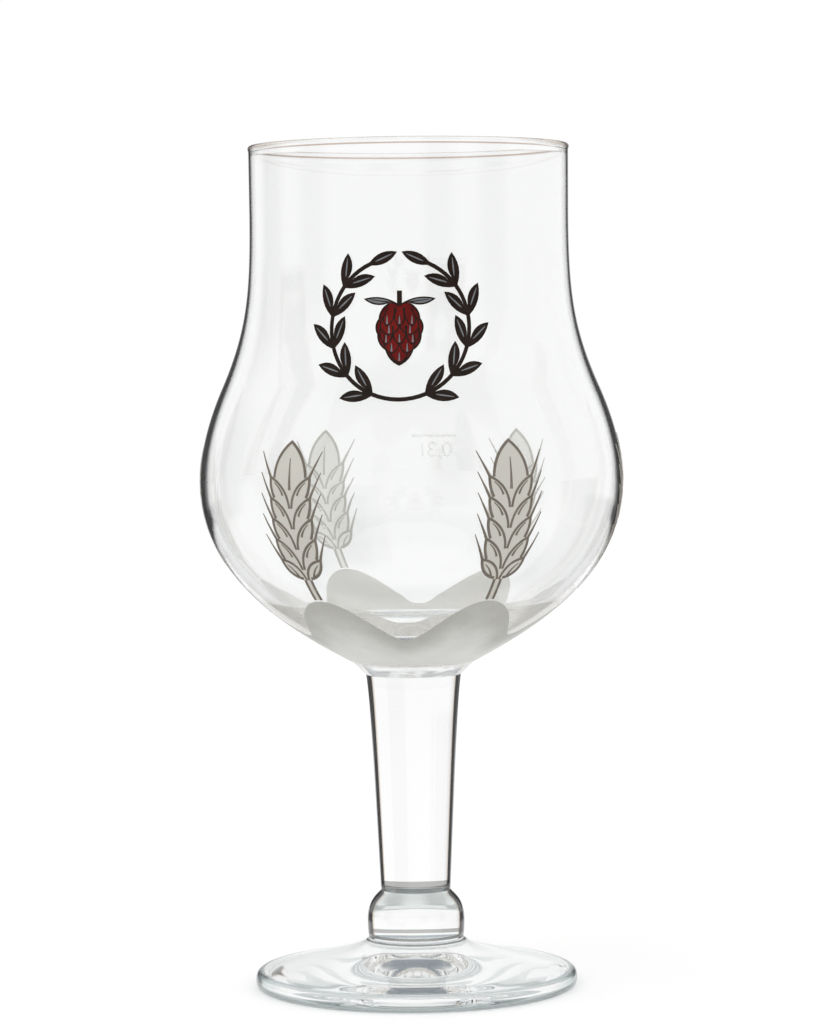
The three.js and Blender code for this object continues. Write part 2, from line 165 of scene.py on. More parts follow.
def curve_to(points, control, end, steps=STEPS):
    """A quadratic curve from the last point."""
    p0, p1, p2 = points[-1], np.array(control, float), np.array(end, float)
    for t in np.linspace(0, 1, steps + 1)[1:]:
        points.append((1 - t) ** 2 * p0 + 2 * t * (1 - t) * p1 + t * t * p2)


def sweep_to(points, leave, leave_pull, end, arrive, arrive_pull, steps=STEPS):
    """A cubic curve that leaves along one slope and arrives along another."""
    p0, p3 = points[-1], np.array(end, float)
    p1 = p0 + heading(leave) * leave_pull
    p2 = p3 - heading(arrive) * arrive_pull
    for t in np.linspace(0, 1, steps + 1)[1:]:
        s = 1 - t
        points.append(s ** 3 * p0 + 3 * s * s * t * p1 + 3 * s * t * t * p2 + t ** 3 * p3)


def outward(points):
    """Unit vectors square to an outline, outwards where it climbs."""
    along = np.gradient(np.array(points), axis=0)
    along /= np.linalg.norm(along, axis=1)[:, None]
    return np.stack([along[:, 1], -along[:, 0]], axis=1)


def foot_profile():
    ring_outer = FOOT_RADIUS - FOOT_RING_REACH
    ring_inner = ring_outer - FOOT_RING_WIDTH
    points = [np.array([0.0, FOOT_HOLLOW_DEPTH])]
    curve_to(points, (ring_inner / 2, FOOT_HOLLOW_DEPTH), (ring_inner, 0))
    line_to(points, ring_outer, 0, steps=FOOT_RING_STEPS)
    edge_top = (FOOT_RADIUS - FOOT_EDGE_REACH, FOOT_EDGE_TOP)
    curve_to(points, (FOOT_RADIUS, 0), (FOOT_RADIUS, FOOT_EDGE_MIDDLE), FOOT_EDGE_STEPS)
    curve_to(points, (FOOT_RADIUS, FOOT_EDGE_TOP), edge_top, FOOT_EDGE_STEPS)
    sweep_to(points, 180 - FOOT_DOME_SLOPE, FOOT_DOME_PULL, (KNOP_BASE_RADIUS, FOOT_HEIGHT),
             180 - FOOT_FILLET_SLOPE, FOOT_FILLET_PULL)
    return points


def knop_profile():
    widest = KNOP_BASE + KNOP_WIDEST_HEIGHT
    points = [np.array([KNOP_BASE_RADIUS, KNOP_BASE])]
    curve_to(points, (KNOP_RADIUS, KNOP_BASE + KNOP_WIDEST_HEIGHT / 2), (KNOP_RADIUS, widest),
             KNOP_BASE_STEPS)
    sweep_to(points, 90, KNOP_SHOULDER_PULL, (STEM_BOTTOM_RADIUS, STEM_BASE), 90, KNOP_NECK_PULL)
    return points


def stem_profile():
    """The stem's outside, with one more point at the top of a ring of painted shade above the knop."""
    points = [np.array([STEM_BOTTOM_RADIUS, STEM_BASE])]
    sweep_to(points, STEM_TAPER_SLOPE, STEM_TAPER_PULL, (STEM_TOP_RADIUS, BOWL_BASE),
             STEM_FLARE_SLOPE, STEM_FLARE_PULL)
    share = SHADE_RING_HEIGHT / (points[1][1] - STEM_BASE)
    points.insert(1, points[0] + (points[1] - points[0]) * share)
    return points


def bowl_outside():
    points = [np.array([STEM_TOP_RADIUS, BOWL_BASE])]
    line_to(points, HEEL_RADIUS, BOWL_BASE + HEEL_HEIGHT, steps=FUSE_STEPS)
    sweep_to(points, HEEL_SLOPE, HEEL_PULL, (BELLY_RADIUS, BOWL_BASE + BELLY_HEIGHT), 90, BELLY_LOWER_PULL)
    sweep_to(points, 90, BELLY_UPPER_PULL, (FLARE_RADIUS, BOWL_BASE + FLARE_HEIGHT),
             FLARE_SLOPE, FLARE_LOWER_PULL)
    sweep_to(points, FLARE_SLOPE, FLARE_UPPER_PULL, (NECK_RADIUS, BOWL_BASE + NECK_HEIGHT), 90, NECK_PULL)
    line_to(points, RIM_RADIUS, BOWL_BASE + BOWL_HEIGHT - 2 * RIM_BEAD_RADIUS, steps=RIM_STEPS)
    return points


def wall_at(height):
    """Thickness of the bowl's wall at a height above the bowl's base."""
    if height > BELLY_HEIGHT:
        t = min(max((height - BELLY_HEIGHT) / (NECK_HEIGHT - BELLY_HEIGHT), 0), 1)
        return BELLY_WALL + (RIM_WALL - BELLY_WALL) * t * t * (3 - 2 * t)
    t = (height - INSIDE_HEEL_HEIGHT) / (BELLY_HEIGHT - INSIDE_HEEL_HEIGHT)
    return HEEL_WALL + (BELLY_WALL - HEEL_WALL) * t


OUTSIDE = np.array(bowl_outside())
OUTSIDE_NORMAL = outward(OUTSIDE)


def bowl_profile():
    """The bowl's outside, rim bead, inside and floor, in one outline."""
    inside = [p - n * wall_at(p[1] - BOWL_BASE) for p, n in zip(OUTSIDE, OUTSIDE_NORMAL)
              if p[1] - BOWL_BASE > INSIDE_HEEL_HEIGHT][::-1]
    floor = BOWL_BASE + FLOOR_THICKNESS
    heel, fall = inside[-1], inside[-1] - inside[-2]
    turn_in = (heel[0] + fall[0] * (floor - heel[1]) / fall[1], floor)
    middle = np.array([RIM_RADIUS - RIM_WALL / 2, BOWL_BASE + BOWL_HEIGHT - RIM_BEAD_RADIUS])
    bead = [middle + RIM_BEAD_RADIUS * heading(a)
            for a in np.linspace(-RIM_BEAD_WRAP, 180 + RIM_BEAD_WRAP, BEAD_STEPS)]
    points = [*OUTSIDE, *bead, *inside]
    curve_to(points, turn_in, (0.0, floor))
    return points


def add_object(name, mesh, node_names, slot, *materials):
    """A piece of the glass, in the place of CAD nodes. Painted shells bring their own materials."""
    piece = bpy.data.objects.new(name, mesh)
    bpy.context.scene.collection.objects.link(piece)
    for material in materials:
        mesh.materials.append(material)
    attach(piece, "root")
    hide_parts(*node_names)


def solid_mesh(name, verts, faces, slots=None):
    """A smooth mesh with sharp creases. Slots give each face its material."""
    mesh = bpy.data.meshes.new(name)
    mesh.from_pydata(verts, [], faces)
    if slots:
        mesh.polygons.foreach_set("material_index", slots)
    mesh.shade_smooth()
    mesh.set_sharp_from_angle(angle=math.radians(SHARP_ANGLE))
    return mesh


def lathe(name, profile, material):
    """A turned shell about +Z, from (radius, height) points; points on the axis close it."""
    verts, faces, rings = [], [], []
    angles = np.arange(SEGMENTS) * 2 * math.pi / SEGMENTS
    for radius, height in profile:
        if radius < ON_AXIS:
            rings.append([len(verts)] * SEGMENTS)
            verts.append((0, 0, height * MM))
        else:
            rings.append(list(range(len(verts), len(verts) + SEGMENTS)))
            verts += [(radius * math.sin(a) * MM, -radius * math.cos(a) * MM, height * MM)
                      for a in angles]
    for low, high in zip(rings, rings[1:]):
        for j in range(SEGMENTS):
            k = (j + 1) % SEGMENTS
            corners = [low[j], low[k], high[k], high[j]]
            faces.append(list(dict.fromkeys(corners)))
    mesh = solid_mesh(name, verts, faces)
    mesh.materials.append(material)
    return mesh


def paint_rings(mesh, first, last, material):
    """Give a turned shell's faces between two points of its profile another material."""
    mesh.materials.append(material)
    slot = len(mesh.materials) - 1
    for face in mesh.polygons[first * SEGMENTS:last * SEGMENTS]:
        face.material_index = slot


def bowl_point(u, height, azimuth, lift):
    """A point of a drawing, in widths and heights, on the bowl's outside and lifted off it."""
    z = BOWL_BASE + height
    radius = np.interp(z, OUTSIDE[:, 1], OUTSIDE[:, 0])
    normal = np.array([np.interp(z, OUTSIDE[:, 1], OUTSIDE_NORMAL[:, i]) for i in (0, 1)])
    angle = math.radians(azimuth) + u / radius
    r, z = radius + normal[0] * lift, z + normal[1] * lift
    return (r * math.sin(angle) * MM, -r * math.cos(angle) * MM, z * MM)


def patch(outline, grid=PRINT_GRID):
    """A filled outline as points and faces, cut along a grid so that it can follow the bowl."""
    bm = bmesh.new()
    bm.faces.new([bm.verts.new((u, h, 0)) for u, h in outline])
    bm.normal_update()
    bmesh.ops.triangulate(bm, faces=bm.faces[:])
    outline = np.array(outline)
    for axis in (0, 1):
        low, high = outline[:, axis].min(), outline[:, axis].max()
        normal = Vector((1 - axis, axis, 0))
        for cut in np.arange(math.ceil(low / grid) * grid, high, grid):
            bmesh.ops.bisect_plane(bm, geom=bm.verts[:] + bm.edges[:] + bm.faces[:],
                                   plane_co=normal * cut, plane_no=normal, dist=CUT_REACH)
    bmesh.ops.recalc_face_normals(bm, faces=bm.faces)
    bm.verts.index_update()
    points = [(v.co.x, v.co.y) for v in bm.verts]
    faces = []
    for face in bm.faces:
        ring = [v.index for v in face.verts]
        faces.append(ring if face.normal.z > 0 else ring[::-1])
    bm.free()
    return points, faces


def ribbon(points, width, side=ASTRIDE):
    """A band along points: on the left or right of the way, or astride it."""
    points = np.array(points, float)
    right = outward(points)
    widths = np.broadcast_to(width, len(points))[:, None]
    low = points + right * widths * (side + 1) / 2
    high = points + right * widths * (side - 1) / 2
    count = len(points)
    faces = [[i, i + 1, count + i + 1, count + i] for i in range(count - 1)]
    return [tuple(p) for p in low] + [tuple(p) for p in high], faces


def print_mesh(name, azimuth, layers):
    """Thin solids on the bowl. Each layer is (points, faces, level, outer material, inner material)."""
    verts, faces, slots = [], [], []
    for points, cells, level, outer, inner in layers:
        base, count = len(verts), len(points)
        low = PRINT_LIFT + level * PRINT_THICKNESS / 2
        for lift in (low, low + PRINT_THICKNESS):
            verts += [bowl_point(u, h, azimuth, lift) for u, h in points]
        for cell in cells:
            faces.append([base + count + i for i in cell])
            faces.append([base + i for i in reversed(cell)])
            slots += [outer, inner]
        edges = dict.fromkeys(edge for cell in cells for edge in zip(cell, cell[1:] + cell[:1]))
        for a, b in edges:
            if (b, a) not in edges:
                faces.append([base + a, base + b, base + count + b, base + count + a])
                slots.append(outer)
    return solid_mesh(name, verts, faces, slots)


def bulge_to(points, end, bulge, steps=PRINT_STEPS):
    """A curve to a point that bulges to the right of the way there."""
    start, end = points[-1], np.array(end, float)
    along = (end - start) / np.linalg.norm(end - start)
    curve_to(points, (start + end) / 2 + np.array([along[1], -along[0]]) * 2 * bulge, end, steps)


def flipped(points):
    return [np.array([-p[0], p[1]]) for p in points]


def mirrored(right_side):
    """A closed outline from its right side."""
    return [*right_side, *flipped(p for p in right_side if p[0] > 0)[::-1]]


def ribbon_pair(points, width, side=ASTRIDE):
    """A band along points, and its mirror image."""
    widths = np.broadcast_to(width, len(points))
    return ribbon(points, widths, side), ribbon(flipped(points)[::-1], widths[::-1], side)


def coat_edge(angle):
    """Height of the satin coat's upper edge at an angle round the bowl."""
    middle, swing = (COAT_PEAK + COAT_VALLEY) / 2, (COAT_PEAK - COAT_VALLEY) / 2
    return middle - swing * math.cos(EAR_COUNT * angle)


def coat_mesh():
    """The satin coat, with the share of its height at each point as an attribute."""
    verts, faces, heights, slots = [], [], [], []
    for lift in (COAT_LIFT, COAT_LIFT + PRINT_THICKNESS):
        for j in range(COAT_COLUMNS):
            angle = 2 * math.pi * j / COAT_COLUMNS
            for i in range(COAT_ROWS + 1):
                t = i / COAT_ROWS
                height = COAT_BOTTOM + (coat_edge(angle) - COAT_BOTTOM) * t
                verts.append(bowl_point(0, height, math.degrees(angle), lift))
                heights.append(t)
    size = COAT_ROWS + 1
    outer = COAT_COLUMNS * size
    for j in range(COAT_COLUMNS):
        a, b = j * size, (j + 1) % COAT_COLUMNS * size
        for i in range(COAT_ROWS):
            faces.append([outer + a + i, outer + b + i, outer + b + i + 1, outer + a + i + 1])
            faces.append([a + i, a + i + 1, b + i + 1, b + i])
            slots += [COAT_FRONT, COAT_BACK]
        faces.append([a, b, outer + b, outer + a])
        top_a, top_b = a + COAT_ROWS, b + COAT_ROWS
        faces.append([top_b, top_a, outer + top_a, outer + top_b])
        slots += [COAT_FRONT, COAT_FRONT]
    mesh = solid_mesh("satin_coat", verts, faces, slots)
    mesh.attributes.new("coat_height", "FLOAT", "POINT").data.foreach_set("value", heights)
    return mesh


def ear_layers():
    """A barley ear: its filled outline, and the lines that draw its grains and awns."""
    stalk = STALK_WIDTH / 2
    points = [np.array([stalk, COAT_PEAK + PRINT_SPACE])]
    line_to(points, stalk, GRAIN_LOWEST, steps=STALK_STEPS)
    strokes = [(points[:], EAR_LINE, LEFT)]
    for i in range(1, GRAIN_PAIRS + 1):
        tip = np.array([EAR_WIDTH / 2, GRAIN_LOWEST + i * GRAIN_PITCH])
        awn = tip + heading(90 - AWN_LEAN) * AWN_LENGTH
        mark = len(points) - 1
        bulge_to(points, tip, EAR_END_BULGE if i == 1 else GRAIN_BULGE)
        strokes.append((points[mark:], EAR_LINE, LEFT))
        line_to(points, *awn)
        line_to(points, tip[0] - AWN_WIDTH, tip[1])
        spike = [tip + (awn - tip) * t for t in np.linspace(*AWN_LINE_SPAN, FINE_STEPS)]
        strokes.append((spike, np.linspace(EAR_LINE, EAR_LINE_END, FINE_STEPS), LEFT))
        seam = [np.array([EAR_SEAM_START, max(tip[1] - EAR_SEAM_DROP, GRAIN_LOWEST)])]
        bulge_to(seam, tip - (AWN_WIDTH / 2, 0), EAR_SEAM_BULGE)
        strokes.append((seam, EAR_SEAM_LINE, ASTRIDE))
        rib = [tip - GRAIN_RIB_START]
        bulge_to(rib, tip - GRAIN_RIB_END, GRAIN_RIB_BULGE)
        strokes.append((rib, np.linspace(GRAIN_RIB_LINE, EAR_LINE_END, len(rib)), ASTRIDE))
    top = points[-1][1]
    mark = len(points) - 1
    bulge_to(points, (0, top + TOP_GRAIN_LENGTH), EAR_END_BULGE)
    strokes.append((points[mark:], EAR_LINE, LEFT))
    rib = [np.array([TOP_RIB_OFFSET, top + t]) for t in np.linspace(*TOP_RIB_SPAN, FINE_STEPS)]
    strokes.append((rib, np.linspace(TOP_RIB_LINE, TOP_RIB_END, FINE_STEPS), RIGHT))
    layers = [(*patch(mirrored(points)), 0, EAR_FILL, EAR_FILL_BACK)]
    for stroke in strokes:
        for band in ribbon_pair(*stroke):
            layers.append((*band, 1, EAR_STROKE, EAR_STROKE))
            layers.append((*band, -1, EAR_STROKE_BACK, EAR_STROKE_BACK))
    return layers


def wreath_point(angle, radius):
    return heading(angle) * radius + np.array([0, WREATH_HEIGHT])


def wreath_layers():
    """The wreath's black outline, with a fine grey vein in each leaf."""
    outer = WREATH_RADIUS + WREATH_STEM_WIDTH / 2
    inner = WREATH_RADIUS - WREATH_STEM_WIDTH / 2
    half = math.degrees(WREATH_LEAF_BASE / WREATH_RADIUS) / 2
    end = 90 - WREATH_OPENING
    angles = [-90 + (end + 90) * i / WREATH_LEAF_PAIRS for i in range(1, WREATH_LEAF_PAIRS)]
    points, veins = [np.array([0, WREATH_HEIGHT - outer])], []

    def arc_to(angle, radius):
        last = points[-1] - np.array([0, WREATH_HEIGHT])
        start = math.degrees(math.atan2(last[1], last[0]))
        points.extend(wreath_point(a, radius) for a in np.linspace(start, angle, WREATH_ARC_STEPS)[1:])

    def leaf(begin, angle, spread, finish):
        base = (begin + finish) / 2
        tip = base + heading(angle + 90 - spread) * WREATH_LEAF_LENGTH
        bulge_to(points, tip, WREATH_LEAF_BULGE, WREATH_LEAF_STEPS)
        bulge_to(points, finish, WREATH_LEAF_BULGE, WREATH_LEAF_STEPS)
        shares = np.linspace(*LEAF_VEIN_SPAN, len(LEAF_VEIN_WIDTHS))
        veins.append([base + (tip - base) * t for t in shares])

    for angle in angles:
        arc_to(angle - half, outer)
        leaf(points[-1], angle, WREATH_LEAF_SPREAD, wreath_point(angle + half, outer))
    arc_to(end, outer)
    leaf(points[-1], end, 0, wreath_point(end, inner))
    for angle in angles[::-1]:
        arc_to(angle + half, inner)
        leaf(points[-1], angle, -WREATH_LEAF_SPREAD, wreath_point(angle - half, inner))
    arc_to(-90, inner)
    points[-1][0] = 0.0
    layers = [(*patch(mirrored(points)), 0, WREATH_LEAF, WREATH_LEAF)]
    for vein in veins:
        for band in ribbon_pair(vein, LEAF_VEIN_WIDTHS):
            layers.append((*band, 1, WREATH_VEIN, WREATH_VEIN))
    return layers


def hop_half_width(share):
    """Half the hop cone's width at a share of its length from its tip."""
    return HOP_WIDTH / 2 * math.sin(math.radians(HOP_ROUNDING * share))


def hop_layers():
    """A hop cone of overlapping scales with dark edges, on a stalk with two grey leaves."""
    bottom = WREATH_HEIGHT - (HOP_LENGTH + HOP_STALK_LENGTH) / 2
    top = bottom + HOP_LENGTH
    points = [np.array([0.0, bottom])]
    for i in range(1, HOP_SCALES + 1):
        share = i / HOP_SCALES
        bulge_to(points, (hop_half_width(share), bottom + HOP_LENGTH * share), HOP_SCALE_BULGE)
    side = points[:]
    leaf_tip = side[-1] + heading(HOP_LEAF_SLOPE) * HOP_LEAF_LENGTH
    bulge_to(points, leaf_tip, HOP_LEAF_BULGE)
    bulge_to(points, (HOP_STALK_WIDTH / 2, top), HOP_LEAF_BULGE)
    leaf = points[len(side) - 1:]
    line_to(points, HOP_STALK_WIDTH / 2, top + HOP_STALK_LENGTH, steps=STALK_STEPS)
    layers = [(*patch(mirrored(points), HOP_GRID), 0, HOP_RED, HOP_RED)]
    for row, count in enumerate(HOP_SCALE_ROWS):
        low = bottom + HOP_ROW_LOWEST + row * (HOP_LENGTH - HOP_ROW_MARGIN) / len(HOP_SCALE_ROWS)
        high = min(low + HOP_SCALE_HEIGHT, top - HOP_SCALE_GAP)
        middle_half = hop_half_width((low + HOP_SCALE_MIDDLE - bottom) / HOP_LENGTH)
        high_half = hop_half_width((high - bottom) / HOP_LENGTH)
        span = 2 * middle_half - HOP_SCALE_INSET
        narrow = min((high_half - HOP_SCALE_GAP) / middle_half, 1.0)
        for k in range(count):
            middle = (k + 0.5) / count * span - span / 2
            width = span / count * HOP_SCALE_OVERLAP
            swell, swell_height = width * HOP_SCALE_SWELL, low + HOP_SCALE_SWELL_HEIGHT
            reach = width * HOP_SCALE_TOP_SHARE
            right = [np.array([middle, low])]
            top_right, top_left = [((middle + x) * narrow, high) for x in (reach, -reach)]
            curve_to(right, (middle + swell, swell_height), top_right, HOP_SCALE_STEPS)
            left = [np.array(top_left)]
            curve_to(left, (middle - swell, swell_height), (middle, low), HOP_SCALE_STEPS)
            layers.append((*patch([*right, *left[:-1]], HOP_GRID), 1 + row, HOP_RED, HOP_RED))
            for edge in (right, left):
                layers.append((*ribbon(edge, HOP_SCALE_LINE, LEFT), 2 + row, HOP_BLACK, HOP_BLACK))
            shares = np.linspace(*HOP_VEIN_SPAN, len(HOP_VEIN_WIDTHS))
            vein = [np.array([middle, low + t]) for t in shares]
            layers.append((*ribbon(vein, HOP_VEIN_WIDTHS), 2 + row, HOP_GREY, HOP_GREY))
    for outline in (leaf, flipped(leaf)):
        layers.append((*patch(outline, HOP_GRID), HOP_LEAF_LEVEL, HOP_GREY, HOP_GREY))
    leaf_base = np.array([HOP_STALK_WIDTH / 2, top])
    shares = np.linspace(*HOP_RIB_SPAN, len(HOP_RIB_WIDTHS))
    rib = [leaf_base * (1 - t) + leaf_tip * t for t in shares]
    strokes = [(side, HOP_SIDE_LINE, LEFT), (leaf, HOP_LEAF_LINE, LEFT), (rib, HOP_RIB_WIDTHS, ASTRIDE)]
    ribbons = [band for stroke in strokes for band in ribbon_pair(*stroke)]
    stalk = [np.array([0.0, top - HOP_STALK_SINK])]
    line_to(stalk, 0.0, top + HOP_STALK_LENGTH, steps=STALK_STEPS)
    ribbons.append(ribbon(stalk, HOP_STALK_WIDTH))
    layers += [(*band, HOP_LEAF_LEVEL + 1, HOP_BLACK, HOP_BLACK) for band in ribbons]
    return layers


def stroke_arc(middle, half_width, half_height, start, end, steps=ARC_STEPS):
    """Points on an upright ellipse, between two angles in degrees."""
    return [middle + heading(a) * (half_width, half_height) for a in np.linspace(start, end, steps)]


def fill_layers():
    """The fill line, with its volume in plain figures under it."""
    half = FILL_LINE_LENGTH / 2
    level = [np.array([x, FILL_HEIGHT]) for x in np.linspace(-half, half, FILL_LINE_STEPS)]
    base, tall, wide = FILL_HEIGHT - FIGURE_DROP, FIGURE_HEIGHT, FIGURE_HALF_WIDTH
    zero = np.array([ZERO_PLACE, base + tall / 2])
    three_top = np.array([THREE_PLACE, base + tall * THREE_TOP_RISE])
    three_bottom = np.array([THREE_PLACE, base + tall * THREE_BOTTOM_SHARE])
    figures = [
        stroke_arc(zero, wide, tall / 2, 0, 360, CIRCLE_STEPS),
        [np.array([x, base + rise]) for x, rise in COMMA],
        stroke_arc(three_top, wide * THREE_TOP_WIDTH, tall * THREE_TOP_SHARE, *THREE_TOP_TURN),
        stroke_arc(three_bottom, wide, tall * THREE_BOTTOM_SHARE, *THREE_BOTTOM_TURN),
        [np.array([LITRE_PLACE, base + rise]) for rise in (0, tall / 2, tall)],
    ]
    ribbons = [ribbon(level, FILL_LINE_WIDTH), *[ribbon(stroke, FIGURE_LINE) for stroke in figures]]
    return [(*band, 0, FILL_PALE, FILL_PALE) for band in ribbons]


# Materials
GLASS_IOR = 1.52
SHADOW_TINT = (0.955, 0.965, 0.96)
RIPPLE, WAVES, WAVE_DETAIL, WAVE_ROUGHNESS = 0.02, 45.0, 1.0, 0.4
SEAM_AZIMUTH, SEAM_REACH, SEAM_RISE = 31.0, 2.2, 0.05
SATIN_GRAIN, SATIN_GRAIN_DETAIL, SATIN_GRAIN_SHARE = 2600.0, 2.0, 0.35
SATIN_CLOUD, SATIN_CLOUD_DETAIL, SATIN_CLOUD_SHARE = 160.0, 3.0, 0.5
SATIN_TONES, ENAMEL_TONES, FLOOR_TONES = (0.05, 0.85), (0.3, 0.7), (0.3, 0.7)
SATIN_BUMP, ENAMEL_BUMP, BUMP_DEPTH = 0.25, 0.1, 0.1 * MM
# Painted shade: how much the coat darkens towards its upper edge
COAT_TOP_SHADE = (-0.5, 0.38)
ENAMEL_CLOUD, ENAMEL_CLOUD_DETAIL = 420.0, 4.0
GLOSSY, MATT, PALE_COVER = 0.35, 0.6, 0.3


def new_material(name):
    material = bpy.data.materials.new(name)
    material.use_nodes = True
    tree = material.node_tree
    tree.nodes.clear()
    return material, tree


def node(tree, kind, inputs=None, **settings):
    made = tree.nodes.new(kind)
    for key, value in settings.items():
        setattr(made, key, value)
    for key, value in (inputs or {}).items():
        if isinstance(value, bpy.types.NodeSocket):
            tree.links.new(value, made.inputs[key])
        else:
            made.inputs[key].default_value = value
    return made


def math_node(tree, operation, a, b=0.0, c=0.0):
    return node(tree, "ShaderNodeMath", {0: a, 1: b, 2: c}, operation=operation).outputs[0]


def fade(tree, value, low, high, start=0.0, end=1.0):
    """A smooth change from start to end while a value goes from low to high."""
    return node(tree, "ShaderNodeMapRange", {"Value": value, 1: low, 2: high, 3: start, 4: end},
                interpolation_type="SMOOTHSTEP").outputs[0]


def ramp(tree, value, stops):
    made = node(tree, "ShaderNodeValToRGB", {"Fac": value})
    elements = made.color_ramp.elements
    while len(elements) < len(stops):
        elements.new(1.0)
    for element, (position, color) in zip(elements, stops):
        element.position = position
        element.color = (*color, 1.0)
    return made.outputs["Color"]


def tone_stops(places, dark, light):
    """Two stops of a ramp."""
    return list(zip(places, (dark, light)))


def noise(tree, vector, scale, detail=2.0, roughness=0.5):
    """Cloudy values, with a scale in clouds per metre."""
    inputs = {"Vector": vector, "Scale": scale, "Detail": detail, "Roughness": roughness}
    return node(tree, "ShaderNodeTexNoise", inputs).outputs["Fac"]


def bump(tree, height, strength, distance):
    inputs = {"Height": height, "Strength": strength, "Distance": distance}
    return node(tree, "ShaderNodeBump", inputs).outputs[0]


def mix_shaders(tree, share, first, second):
    return node(tree, "ShaderNodeMixShader", {0: share, 1: first, 2: second}).outputs[0]


def azimuth_of(tree, vector):
    """Degrees round +Z from the front, towards +X, of a position or direction."""
    parts = node(tree, "ShaderNodeSeparateXYZ", {0: vector})
    back = math_node(tree, "MULTIPLY", parts.outputs["Y"], -1.0)
    turn = math_node(tree, "ARCTAN2", parts.outputs["X"], back)
    return math_node(tree, "MULTIPLY", turn, 180 / math.pi)


def glass_material(name, edge, ripple=RIPPLE, waves=WAVES, roughness=0.0, clarity=1.0, shift=None,
                   seam=False):
    """Clear glass, slightly uneven. Lamps shine through it, and its colour darkens where it turns away:
    painted shade in place of the dark surroundings seen in its edges.
    """
    material, tree = new_material(name)
    place = node(tree, "ShaderNodeTexCoord").outputs["Object"]
    height = math_node(tree, "MULTIPLY", noise(tree, place, waves, WAVE_DETAIL, WAVE_ROUGHNESS), ripple)
    if seam:
        away = math_node(tree, "SUBTRACT", azimuth_of(tree, place), SEAM_AZIMUTH)
        ridge = fade(tree, math_node(tree, "ABSOLUTE", away), 0.0, SEAM_REACH, SEAM_RISE, 0.0)
        height = math_node(tree, "ADD", height, ridge)
    # Painted shade: the glass's colour follows a ramp of how far it turns away
    facing = node(tree, "ShaderNodeLayerWeight", {"Blend": 0.5}).outputs["Facing"]
    if shift:
        top = shift[-1][0]
        level = node(tree, "ShaderNodeSeparateXYZ", {0: place}).outputs["Z"]
        stops = [(at / top, (amount, amount, amount)) for at, amount in shift]
        later = ramp(tree, math_node(tree, "DIVIDE", level, top), stops)
        facing = math_node(tree, "SUBTRACT", facing, later)
    glass = node(tree, "ShaderNodeBsdfPrincipled", {
        "Base Color": ramp(tree, facing, edge), "Roughness": roughness, "IOR": GLASS_IOR,
        "Transmission Weight": clarity, "Normal": bump(tree, height, 1.0, MM)})
    through = node(tree, "ShaderNodeBsdfTransparent", {"Color": (*SHADOW_TINT, 1.0)})
    shadow = node(tree, "ShaderNodeLightPath").outputs["Is Shadow Ray"]
    mix = mix_shaders(tree, shadow, glass.outputs[0], through.outputs[0])
    node(tree, "ShaderNodeOutputMaterial", {"Surface": mix})
    return material


def satin_material(name, color, dark, coat=False):
    """Satin enamel: a fine grain, cloudy in tone, with a pale sheen where it turns away."""
    material, tree = new_material(name)
    place = node(tree, "ShaderNodeTexCoord").outputs["Object"]
    grain = noise(tree, place, SATIN_GRAIN, SATIN_GRAIN_DETAIL)
    cloud = noise(tree, place, SATIN_CLOUD, SATIN_CLOUD_DETAIL)
    tone = math_node(tree, "MULTIPLY_ADD", grain, SATIN_GRAIN_SHARE,
                     math_node(tree, "MULTIPLY", cloud, SATIN_CLOUD_SHARE))
    # Painted shade: the coat darker towards its upper edge
    if coat:
        height = node(tree, "ShaderNodeAttribute", attribute_name="coat_height").outputs["Fac"]
        tone = math_node(tree, "SUBTRACT", tone, fade(tree, height, 0.0, 1.0, *COAT_TOP_SHADE))
    face = node(tree, "ShaderNodeBsdfPrincipled", {
        "Base Color": ramp(tree, tone, tone_stops(SATIN_TONES, dark, color)), "Roughness": MATT,
        "Specular IOR Level": 0.3, "Sheen Weight": 0.5, "Sheen Roughness": 0.35,
        "Normal": bump(tree, grain, SATIN_BUMP, BUMP_DEPTH)})
    node(tree, "ShaderNodeOutputMaterial", {"Surface": face.outputs[0]})
    return material


def enamel_material(name, color, dark, roughness=GLOSSY, cover=1.0):
    """Fired enamel with slightly uneven colour, which covers the glass wholly or in part."""
    material, tree = new_material(name)
    place = node(tree, "ShaderNodeTexCoord").outputs["Object"]
    cloud = noise(tree, place, ENAMEL_CLOUD, ENAMEL_CLOUD_DETAIL)
    face = node(tree, "ShaderNodeBsdfPrincipled", {
        "Base Color": ramp(tree, cloud, tone_stops(ENAMEL_TONES, dark, color)), "Roughness": roughness,
        "Specular IOR Level": 0.1, "Alpha": cover, "Normal": bump(tree, cloud, ENAMEL_BUMP, BUMP_DEPTH)})
    node(tree, "ShaderNodeOutputMaterial", {"Surface": face.outputs[0]})
    return material


# How much later the bowl's painted dark edges begin, as (height in metres, share) stops
BOWL_EDGE_SHIFT = [(0.106, 0.3), (0.119, 0.0), (0.13, 0.0), (0.18, 0.09)]

# Painted shade and painted reflections: how the glass's colour darkens where it turns away, in place of
# the dark surroundings seen in its edges, as (share, colour) stops
CLEAR, DARK = (0.96, 0.966, 0.962), (0.002, 0.002, 0.002)
BOWL_EDGE = [(0.68, CLEAR), (0.72, (0.5, 0.5, 0.5)), (0.742, (0.08, 0.08, 0.08)), (0.765, DARK)]
# Painted reflection: the rim's bead turns coppery and dark where it turns away
RIM_EDGE = [(0.3, CLEAR), (0.6, (0.5, 0.4, 0.32)), (0.85, (0.06, 0.045, 0.035))]
STEM_EDGE = [(0.48, CLEAR), (0.53, (0.72, 0.6, 0.5)), (0.58, DARK)]
# Painted shade: dark glass in rings where the stem, the knop and the foot meet
GROOVE_SHADE = [(0.0, (0.24, 0.24, 0.23)), (0.6, (0.06, 0.06, 0.06))]
# Painted reflection: a dark coppery line in the crease where the rim's bead meets the inside
CREASE_REFLECTION = [(0.0, (0.4, 0.27, 0.2)), (0.6, (0.2, 0.13, 0.1))]
